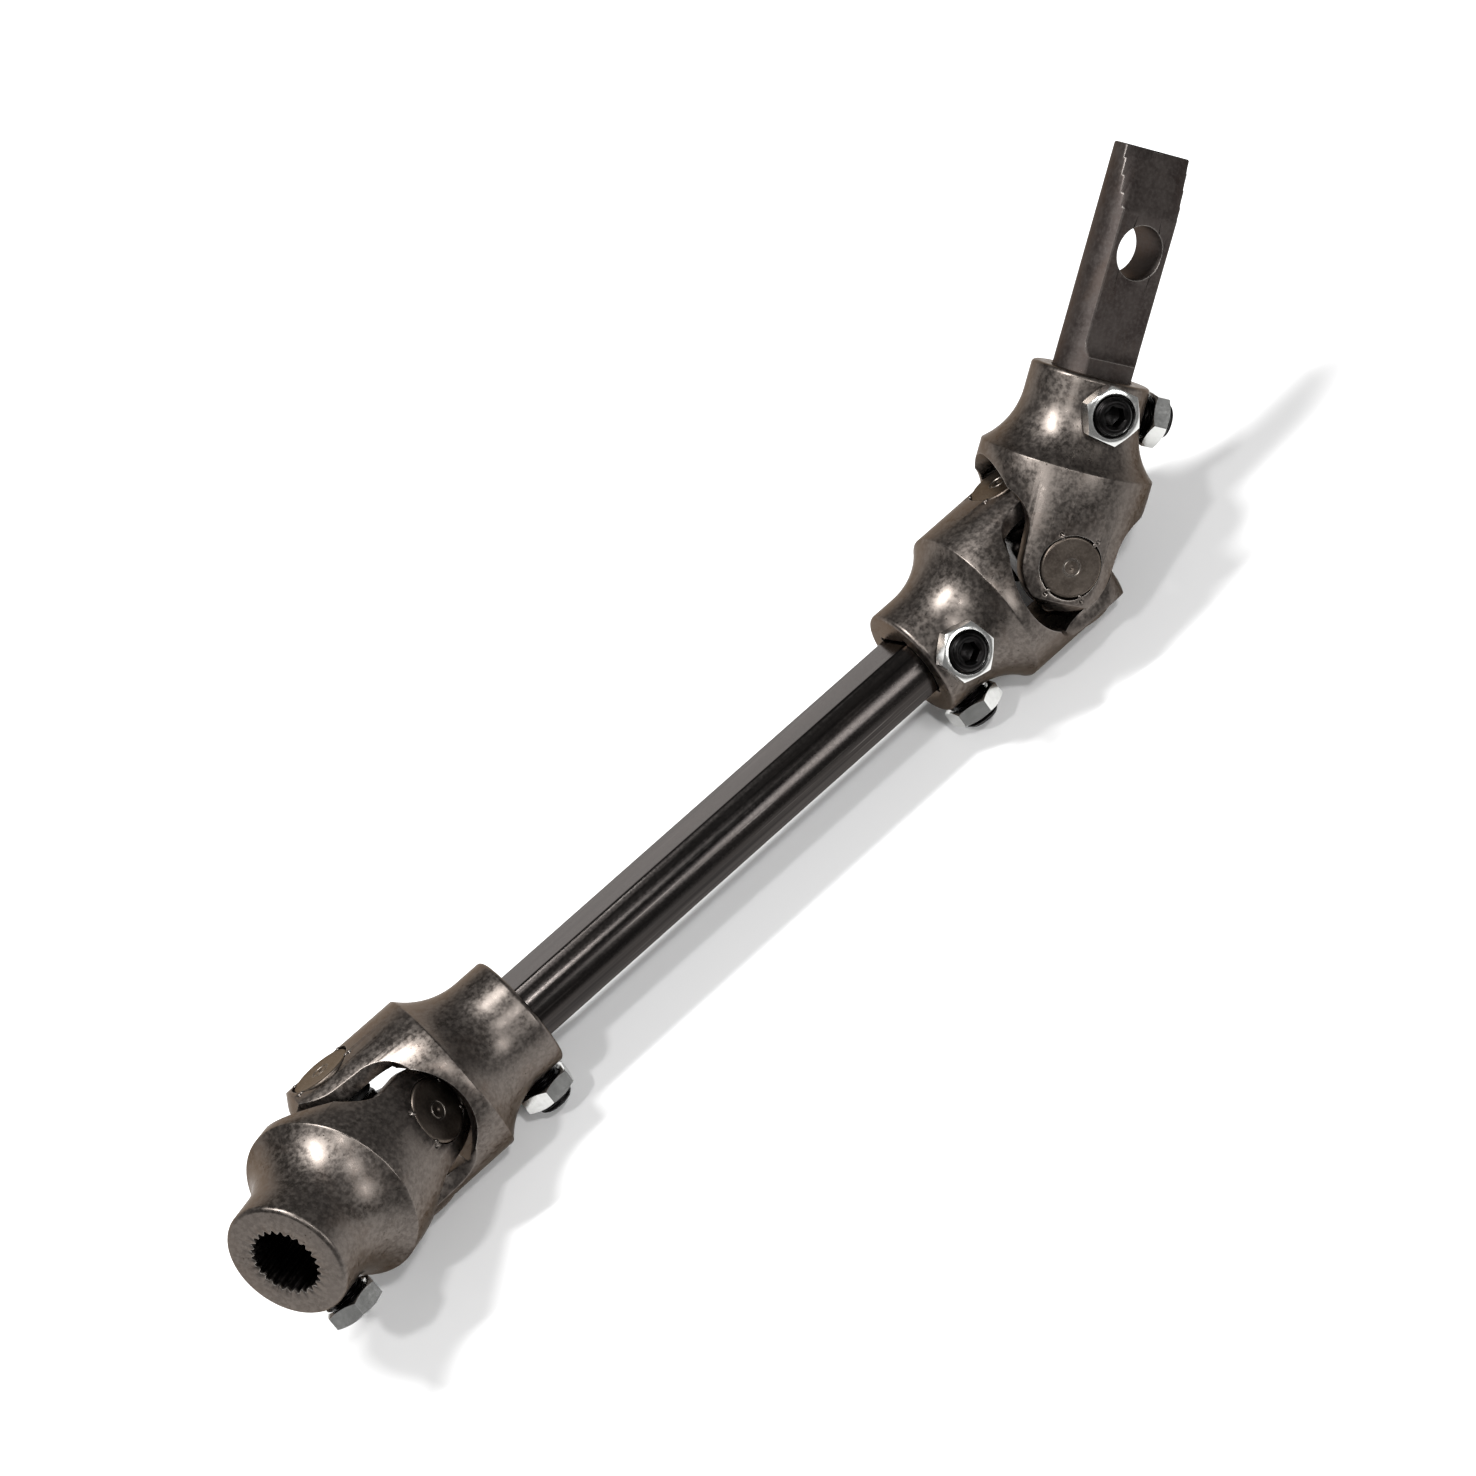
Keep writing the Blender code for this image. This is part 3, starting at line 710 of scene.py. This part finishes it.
def double_d_bore():
    """Double-D hole with a small relief in each broached corner."""
    radius = SHAFT_RADIUS + GAP
    flat = SHAFT_FLAT + 0.45 * MM
    half = math.degrees(math.acos(flat / radius))
    outline = []
    for start in (0, 180):
        first = half + 5
        points = arc((0, 0), radius, start + first, start + 180 - first, 40)
        for corner, order in ((start + half, 1), (start + 180 - half, -1)):
            centre = Vector((
                (radius - 0.55 * MM) * math.cos(math.radians(corner)),
                (radius - 0.55 * MM) * math.sin(math.radians(corner)),
            ))
            relief = arc(centre, 0.95 * MM, corner - 95 * order, corner + 62 * order, 9)
            points = relief + points if order == 1 else points + relief[::-1]
        outline += points
    return extrude("double_d_bore", outline, 10 * MM, 60 * MM)


def spline_bore():
    outline = []
    for step in range(SPLINE_TEETH):
        profile = ((0.00, SPLINE_MINOR), (0.14, SPLINE_MINOR), (0.24, SPLINE_MINOR + 0.15 * MM))
        profile += ((0.46, SPLINE_MAJOR - 0.08 * MM), (0.53, SPLINE_MAJOR), (0.61, SPLINE_MAJOR))
        profile += ((0.68, SPLINE_MAJOR - 0.08 * MM), (0.90, SPLINE_MINOR + 0.15 * MM))
        for part, radius in profile:
            angle = FULL * (step + part + 0.37) / SPLINE_TEETH
            outline.append((radius * math.cos(angle), radius * math.sin(angle)))
    return extrude("spline_bore", outline, 10 * MM, 60 * MM, 12)


def yoke_blank():
    """Turned blank: hub with a rounded end, cove, sharp rim, straight ears, coned tip."""
    outline = [(0, HUB_END)]
    outline += [(3 * MM, HUB_END), (7 * MM, HUB_END), (11 * MM, HUB_END)]
    corner = (HUB_RADIUS - HUB_ROUND, HUB_END - HUB_ROUND)
    outline += arc(corner, HUB_ROUND, 90, 0, 8)
    outline += [(HUB_RADIUS, HUB_END - 2.4 * MM), (HUB_RADIUS, HUB_END - 4.0 * MM)]
    centre = HUB_RADIUS + COVE_RADIUS
    lip = RIM_RADIUS - 0.22 * MM
    sweep = math.degrees(math.acos((centre - lip) / COVE_RADIUS))
    outline += arc((centre, COVE_START), COVE_RADIUS, 180, 180 + sweep, 30)
    outline += [(RIM_RADIUS - 0.05 * MM, RIM_HEIGHT + 0.02 * MM), (RIM_RADIUS, RIM_HEIGHT - 0.16 * MM)]
    outline += [(RIM_RADIUS, -EAR_TIP_FACE), (EAR_TIP_INNER, -EAR_TIP), (9 * MM, -EAR_TIP), (0, -EAR_TIP)]
    return lathe("yoke_blank", outline, 192)


def cylinder(name, radius, low, high, segments=96):
    return lathe(name, [(0, low), (radius, low), (radius, high), (0, high)], segments)


SLOT = slot_cutter()
POCKET = pocket_cutter()
SIDE = side_cutter()
STAKES = stake_cutter()
PIN_BORE = cylinder("pin_bore", CUP_RADIUS + 0.22 * MM, -30 * MM, 30 * MM, 128)
SCREW_BORE = lathe("screw_bore", [
    (0, 2 * MM),
    (SCREW_RADIUS + 0.1 * MM, 2 * MM),
    (SCREW_RADIUS + 0.1 * MM, HUB_RADIUS - 0.9 * MM),
    (SCREW_RADIUS + 0.9 * MM, HUB_RADIUS - 0.1 * MM),
    (SCREW_RADIUS + 0.9 * MM, 20 * MM),
    (0, 20 * MM),
], 64)


def yoke_mesh(name, bore, screws):
    cuts = [
        (SLOT, Matrix.Rotation(math.radians(90), 4, "X")),
        (POCKET, lie_on_x()),
        (SIDE, lie_on_x()),
        (SIDE, around_z(180) @ lie_on_x()),
        (PIN_BORE, lie_on_x()),
        (bore, Matrix.Identity(4)),
    ]
    cuts += [(SCREW_BORE, radial(angle, SCREW_HEIGHT)) for angle in screws]
    cuts.append((STAKES, Matrix.Identity(4)))
    return carve(name, yoke_blank(), cuts)


# Bearings.

def cup_mesh():
    face = CUP_FACE
    outline = [(0, face - 0.40 * MM), (0.25 * MM, face - 0.38 * MM), (0.55 * MM, face - 0.10 * MM)]
    outline += [(0.70 * MM, face - 0.05 * MM), (1.75 * MM, face - 0.05 * MM), (1.90 * MM, face - 0.18 * MM)]
    outline += [(2.10 * MM, face - 0.18 * MM), (2.25 * MM, face - 0.03 * MM), (4.5 * MM, face - 0.02 * MM)]
    outline += [(6.55 * MM, face - 0.02 * MM), (6.70 * MM, face)]
    outline += arc((CUP_RADIUS - 0.65 * MM, face - 0.65 * MM), 0.65 * MM, 90, 0, 8)
    outline += [(CUP_RADIUS, 18 * MM), (CUP_RADIUS, CUP_MOUTH + 0.2 * MM), (CUP_RADIUS - 0.2 * MM, CUP_MOUTH)]
    inner = CUP_RADIUS - CUP_WALL
    outline += [(inner + 0.2 * MM, CUP_MOUTH), (inner, CUP_MOUTH + 0.2 * MM), (inner, face - CUP_WALL)]
    outline += [(0, face - CUP_WALL)]
    return lathe("bearing_cup", outline, 112, 40)


def needle_mesh():
    """Full ring of separate needle rollers with rounded ends."""
    low = CUP_MOUTH + 1.0 * MM
    high = CUP_FACE - CUP_WALL - 2 * GAP
    middle = (TRUNNION_RADIUS + GAP + CUP_RADIUS - CUP_WALL - GAP) / 2
    size = 0.52 * MM
    profile = [(0, low), (0.3 * MM, low + 0.02 * MM), (0.45 * MM, low + 0.12 * MM)]
    profile += [(size, low + 0.3 * MM), (size, high - 0.3 * MM)]
    profile += [(0.45 * MM, high - 0.12 * MM), (0.3 * MM, high - 0.02 * MM), (0, high)]
    roller = lathe("roller", profile, 14, 50)
    out = Matrix.Translation((middle, 0, 0))
    return join("needles", [(roller, around_z(360 * i / NEEDLE_COUNT) @ out) for i in range(NEEDLE_COUNT)])


def seal_mesh():
    inner = TRUNNION_RADIUS + GAP
    top = CUP_MOUTH - GAP
    outline = [(inner, SEAL_FACE), (inner + 0.5 * MM, SEAL_FACE - 0.02 * MM)]
    outline += [(SEAL_RADIUS - 0.5 * MM, SEAL_FACE)]
    outline += arc((SEAL_RADIUS - 0.4 * MM, SEAL_FACE + 0.4 * MM), 0.4 * MM, -90, 0, 5)
    outline += [(SEAL_RADIUS - 0.35 * MM, SEAL_FACE + 0.9 * MM)]
    outline += [(SEAL_RADIUS - 0.35 * MM, SEAL_FACE + 1.2 * MM)]
    outline += arc((SEAL_RADIUS - 0.4 * MM, top - 0.4 * MM), 0.4 * MM, 0, 90, 5)
    outline += [(inner + 0.3 * MM, top), (inner, top - 0.3 * MM)]
    return lathe("cross_seal", outline, 72, 40, closed=True)


def cross_mesh():
    """Forged core with four ground trunnions and a shoulder under each seal."""
    edit = bmesh.new()
    bmesh.ops.create_cube(edit, size=2 * CROSS_CORE)
    for vert in edit.verts:
        vert.co.z *= 0.92
    bmesh.ops.bevel(edit, geom=edit.edges[:], offset=2.2 * MM, segments=6, affect="EDGES", profile=0.6)
    core = to_mesh("cross_core", edit, 40)
    end = CUP_FACE - CUP_WALL - GAP
    outline = [(0, 2 * MM), (6.6 * MM, 2 * MM), (6.6 * MM, 8.0 * MM)]
    outline += arc((6.0 * MM, 9.3 * MM), 0.6 * MM, 0, 90, 4)
    outline += [(5.2 * MM, 9.9 * MM), (TRUNNION_RADIUS + 0.25 * MM, 10.1 * MM), (TRUNNION_RADIUS, 10.35 * MM)]
    outline += [(TRUNNION_RADIUS, end - 0.5 * MM), (TRUNNION_RADIUS - 0.5 * MM, end), (1.2 * MM, end)]
    outline += [(0.9 * MM, end - 1.0 * MM), (0, end - 1.0 * MM)]
    arm = lathe("trunnion", outline, 64, 40)
    adds = [(arm, radial(90 * number, 0)) for number in range(4)]
    return carve("cross", core, [], adds, bevel=0)


# Threads, nuts and screws.

def hexagon(flats, angle):
    return flats / 2 / math.cos((angle % (math.pi / 3)) - math.pi / 6)


def thread_rings(edit, base, depth, low, high, segments):
    """Helical surface from low to high, with the crest at base and the root at base - depth."""
    rings = []
    count = max(2, round((high - low) / (THREAD_PITCH / 8)))
    for step in range(count + 1):
        height = low + (high - low) * step / count
        fade = min(1.0, (height - low) / (0.6 * THREAD_PITCH), (high - height) / (0.6 * THREAD_PITCH))

        def reach(angle, height=height, fade=fade):
            phase = (height / THREAD_PITCH - angle / FULL) % 1.0
            wave = abs(2 * phase - 1)
            wave = min(1.0, max(0.0, (wave - 0.1) / 0.8))
            return base - depth * (wave * fade + (1 - fade))

        rings.append(ring(edit, reach, height, segments))
    return rings


def screw_mesh(tip, end):
    """Threaded socket set screw: cup point, chamfers and hexagon socket."""
    segments = 72
    edit = bmesh.new()
    root = SCREW_RADIUS - THREAD_DEPTH
    rings = [ring(edit, 1.6 * MM, tip + 0.5 * MM, segments), ring(edit, 2.6 * MM, tip, segments)]
    rings.append(ring(edit, root - 0.4 * MM, tip + 0.3 * MM, segments))
    rings += thread_rings(edit, SCREW_RADIUS, THREAD_DEPTH, tip + 0.7 * MM, end - 0.35 * MM, segments)
    rings.append(ring(edit, root - 0.25 * MM, end - 0.12 * MM, segments))
    rings.append(ring(edit, root - 0.5 * MM, end, segments))
    rings.append(ring(edit, SOCKET_FLATS * 0.66, end, segments))
    rings.append(ring(edit, SOCKET_FLATS * 0.63, end - 0.06 * MM, segments))

    def socket(angle):
        return hexagon(SOCKET_FLATS, angle)

    rings.append(ring(edit, socket, end - 0.45 * MM, segments))
    rings.append(ring(edit, socket, end - SOCKET_DEPTH, segments))
    rings.append(ring(edit, 2.0 * MM, end - SOCKET_DEPTH - 0.2 * MM, segments))
    for lower, upper in zip(rings, rings[1:]):
        skin(edit, lower, upper)
    cap(edit, rings[0], (0, 0, tip + 0.9 * MM))
    cap(edit, rings[-1], (0, 0, end - SOCKET_DEPTH - 0.9 * MM))
    return to_mesh("set_screw", edit, 38)


def nut_mesh():
    """Hexagon jam nut, chamfered on both faces and countersunk; the bore is left plain."""
    segments = 144
    bore = SCREW_RADIUS + 0.1 * MM
    slope = math.tan(math.radians(28))
    crown = NUT_FLATS / 2 * 0.965

    def side(angle):
        return hexagon(NUT_FLATS, angle)

    def top(angle):
        return NUT_FACE - (side(angle) - crown) * slope

    def bottom(angle):
        return NUT_SEAT + (side(angle) - crown) * slope

    edit = bmesh.new()
    rings = [ring(edit, bore + 0.05 * MM, NUT_SEAT + 0.7 * MM, segments)]
    rings.append(ring(edit, bore + 0.7 * MM, NUT_SEAT, segments))
    rings.append(ring(edit, crown, NUT_SEAT, segments))
    rings.append(ring(edit, side, bottom, segments))
    rings.append(ring(edit, side, top, segments))
    rings.append(ring(edit, crown, NUT_FACE, segments))
    rings.append(ring(edit, bore + 0.62 * MM, NUT_FACE, segments))
    rings.append(ring(edit, bore + 0.02 * MM, NUT_FACE - 0.6 * MM, segments))
    for index, lower in enumerate(rings):
        skin(edit, lower, rings[(index + 1) % len(rings)])
    edges = []
    for edge in edit.edges:
        if edge.calc_face_angle() > math.radians(14):
            edges.append(edge)
    bmesh.ops.bevel(
        edit,
        geom=edges,
        offset=0.09 * MM,
        segments=2,
        profile=0.5,
        affect="EDGES",
        clamp_overlap=False,
    )
    return to_mesh("jam_nut", edit, 34)


# Bars.

def soft_min(one, two, blend):
    """Smaller of two lengths, rounded where they meet."""
    share = max(0.0, min(1.0, 0.5 + 0.5 * (two - one) / blend))
    return two + (one - two) * share - blend * share * (1 - share)


def bar_section(angle, radius, front, back):
    """Distance from the axis to a bar's surface, with the corner of each flat rounded."""
    side = math.cos(angle)
    flat = front if side > 0 else back
    return soft_min(radius, flat / max(abs(side), 0.05), FLAT_CORNER)


def bar_mesh(name, stations, radius):
    """Bar along Z through stations of (height, front flat, back flat, inset)."""
    edit = bmesh.new()
    rings = []
    for height, front, back, inset in stations:
        def reach(angle, front=front, back=back, inset=inset):
            return bar_section(angle, radius, front, back) - inset

        rings.append(ring(edit, reach, height, BAR_SEGMENTS))
    for lower, upper in zip(rings, rings[1:]):
        skin(edit, lower, upper)
    edit.faces.new(rings[0])
    edit.faces.new(rings[-1])
    return to_mesh(name, edit, 30)


def shaft_mesh(length):
    low = SHAFT_INSERT
    high = length - SHAFT_INSERT
    stations = [(low, SHAFT_FLAT, SHAFT_FLAT, 0.6 * MM), (low + 0.6 * MM, SHAFT_FLAT, SHAFT_FLAT, 0)]
    steps = 40
    for step in range(1, steps):
        stations.append((low + (high - low) * step / steps, SHAFT_FLAT, SHAFT_FLAT, 0))
    stations += [(high - 0.6 * MM, SHAFT_FLAT, SHAFT_FLAT, 0), (high, SHAFT_FLAT, SHAFT_FLAT, 0.6 * MM)]
    return bar_mesh("double_d_bar", stations, SHAFT_RADIUS)


def tang_mesh():
    """Tang with milled flats that run out in a small radius above the hub, and a wedge tip."""
    def fillet(height):
        if height <= TANG_FOOT:
            return TANG_FOOT_FLAT
        if height >= TANG_FOOT_END:
            return TANG_FLAT
        share = (TANG_FOOT_END - height) / (TANG_FOOT_END - TANG_FOOT)
        return TANG_FLAT + (TANG_FOOT_FLAT - TANG_FLAT) * share ** 2

    stations = [(SHAFT_INSERT, TANG_FOOT_FLAT, TANG_FOOT_FLAT, 0.6 * MM)]
    for height in (26.1, 32, 38, 43, 46, 47.8):
        stations.append((height * MM, TANG_FOOT_FLAT, TANG_FOOT_FLAT, 0))
    for step in range(13):
        height = TANG_FOOT + (TANG_FOOT_END - TANG_FOOT) * step / 12
        stations.append((height, fillet(height), fillet(height), 0))
    for height in (54, 59, 64, 70, 75, 80, 83.3):
        stations.append((height * MM, TANG_FLAT, TANG_FLAT, 0))
    slope = (TANG_FLAT - TANG_TIP_FLAT) / (TANG_END - TANG_TAPER_START)
    for height in (83.5, 84, 87, 91, 95, 98.2):
        front = TANG_FLAT - slope * (height * MM - TANG_TAPER_START)
        stations.append((height * MM, front, TANG_FLAT, 0))
    stations.append((TANG_END, TANG_TIP_FLAT, TANG_FLAT, 0.3 * MM))
    bar = bar_mesh("tang_bar", stations, TANG_RADIUS)
    hole = cylinder("tang_hole", TANG_HOLE_RADIUS, -15 * MM, 15 * MM, 96)
    lie = Matrix.Translation((0, 0, TANG_HOLE_HEIGHT)) @ lie_on_x()
    return carve("tang", bar, [(hole, lie)], bevel=0.22 * MM, limit=40, sharp=30)


# Build everything.

def build_yokes():
    bores = {
        "shaft_lower": double_d_bore(),
        "shaft_upper": double_d_bore(),
        "splined_yoke": spline_bore(),
        "column_yoke": cylinder("tang_bore", TANG_RADIUS + GAP, 10 * MM, 60 * MM, 128),
    }
    bores["shaft_lower"].transform(around_z(FLAT_PHASE))
    bores["shaft_upper"].transform(around_z(UPPER_FLAT_PHASE))
    cup = cup_mesh()
    needles = needle_mesh()
    nut = nut_mesh()
    for name, matrix in PLACES.items():
        if name not in BODIES:
            continue
        body = BODIES[name]
        node = name if name.endswith("yoke") else f"{name}_yoke"
        mesh = yoke_mesh(f"{node}_visual", bores[name], SCREW_ANGLES[name])
        place(f"{node}_forging", mesh, matrix, body, LOOKS["yoke"], (node,))
        place(f"{node}_stake_lips", stake_lips(), matrix, body, LOOKS["yoke"], ())
        for turn in (0, 180):
            spot = matrix @ radial(turn, 0)
            out = spot.to_3x3() @ Vector((0, 0, 1))
            side = "a"
            low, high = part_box(f"{name}_cup_a")
            if ((Vector(low) + Vector(high)) / 2 - matrix.translation).dot(out) < 0:
                side = "b"
            place(f"{name}_bearing_cup_{side}", cup.copy(), spot, body, LOOKS["cup"],
                  (f"{name}_cup_{side}",))
            place(f"{name}_needle_rollers_{side}", needles.copy(), spot, body, LOOKS["needle"],
                  (f"{name}_needles_{side}",))
        for index, angle in enumerate(SCREW_ANGLES[name]):
            number = index + 1
            spot = matrix @ radial(angle, SCREW_HEIGHT)
            screw_shape = screw_mesh(SCREW_TIPS[name][index], SCREW_ENDS[name][index])
            seated = spot @ around_z(NUT_TURNS[name][index])
            screw = f"{name}_set_screw_{number}"
            jam = f"{name}_jam_nut_{number}"
            place(f"{screw}_threaded", screw_shape, spot, body, LOOKS["screw"], (screw,))
            place(f"{jam}_hex", nut.copy(), seated, body, LOOKS["zinc"], (jam,))


def build_crosses():
    cross = cross_mesh()
    seal = seal_mesh()
    for name in ("lower_cross", "upper_cross"):
        matrix = PLACES[name]
        place(f"{name}_forged", cross.copy(), matrix, name, LOOKS["cross"], (name,))
        for number in range(4):
            node = f"{name}_seal_{number + 1}"
            place(f"{node}_lip", seal.copy(), matrix @ radial(90 * number, 0), name, LOOKS["rubber"],
                  (node,))


def build_bars():
    length = (UPPER - LOWER).length
    place("double_d_bar", shaft_mesh(length), PLACES["shaft_lower"] @ around_z(FLAT_PHASE),
          "intermediate_shaft", LOOKS["bar"], ("double_d_shaft",))
    place("milled_tang", tang_mesh(), PLACES["tang"], "column_yoke",
          LOOKS["tang"], ("flat_tang",))


# Camera, floor and light.

def build_camera():
    data = bpy.data.cameras.new("camera")
    data.sensor_width = CAMERA_SENSOR
    data.lens = CAMERA_LENS
    data.clip_start = 0.01
    data.clip_end = 20.0
    camera = bpy.data.objects.new("camera", data)
    bpy.context.scene.collection.objects.link(camera)
    camera.location = LOWER + Vector(CAMERA_OFFSET)
    camera.rotation_euler = [math.radians(angle) for angle in CAMERA_TURN]
    bpy.context.scene.camera = camera
    return camera


def build_floor():
    edit = bmesh.new()
    bmesh.ops.create_grid(edit, x_segments=4, y_segments=4, size=3.0)
    mesh = to_mesh("floor", edit)
    floor = bpy.data.objects.new("floor", mesh)
    bpy.context.scene.collection.objects.link(floor)
    floor.location = (0, 0, CAD_BOX[0][2] - 0.0002)
    look = Look("pale_floor")
    tone = look.noise(3.0, 2.0)
    colour = look.blend(tone, (0.90, 0.90, 0.90), (0.93, 0.93, 0.93))
    look.finish(colour, look.ramp(tone, 0.3, 0.7, 0.85, 0.95))
    mesh.materials.append(look.material)


def area_light(name, camera, offset, target, size, power, along=(1, 0, 0)):
    """Soft panel at an offset in camera axes (right, up, towards the viewer) from a target."""
    data = bpy.data.lights.new(name, "AREA")
    data.shape = "RECTANGLE"
    data.size, data.size_y = size
    data.energy = power
    light = bpy.data.objects.new(name, data)
    bpy.context.scene.collection.objects.link(light)
    turn = camera.rotation_euler.to_matrix()
    light.location = Vector(target) + turn @ Vector(offset)
    facing = axes(light.location, turn @ Vector(along), light.location - Vector(target))
    light.rotation_euler = facing.to_euler()


def build_light(camera):
    world = bpy.data.worlds.new("studio")
    bpy.context.scene.world = world
    world.use_nodes = True
    background = world.node_tree.nodes["Background"]
    background.inputs["Color"].default_value = (1.0, 1.0, 1.0, 1.0)
    background.inputs["Strength"].default_value = ROOM_LIGHT
    middle = (LOWER + UPPER) / 2
    area_light("key", camera, (-0.60, 0.60, 0.69), middle, (0.50, 0.09), 18.0, ALONG_SHAFT)
    area_light("fill", camera, (0.62, 0.05, 0.80), middle, (0.30, 0.30), 3.0)
    area_light("spot_one", camera, (0.10, 0.25, 0.95), middle, (0.07, 0.07), 2.4)
    area_light("spot_two", camera, (-0.42, 0.10, 0.90), middle, (0.06, 0.06), 2.2)


build_yokes()
build_crosses()
build_bars()
CAMERA = build_camera()
build_floor()
build_light(CAMERA)
bpy.context.scene.view_settings.view_transform = "Standard"

bpy.context.view_layer.update()
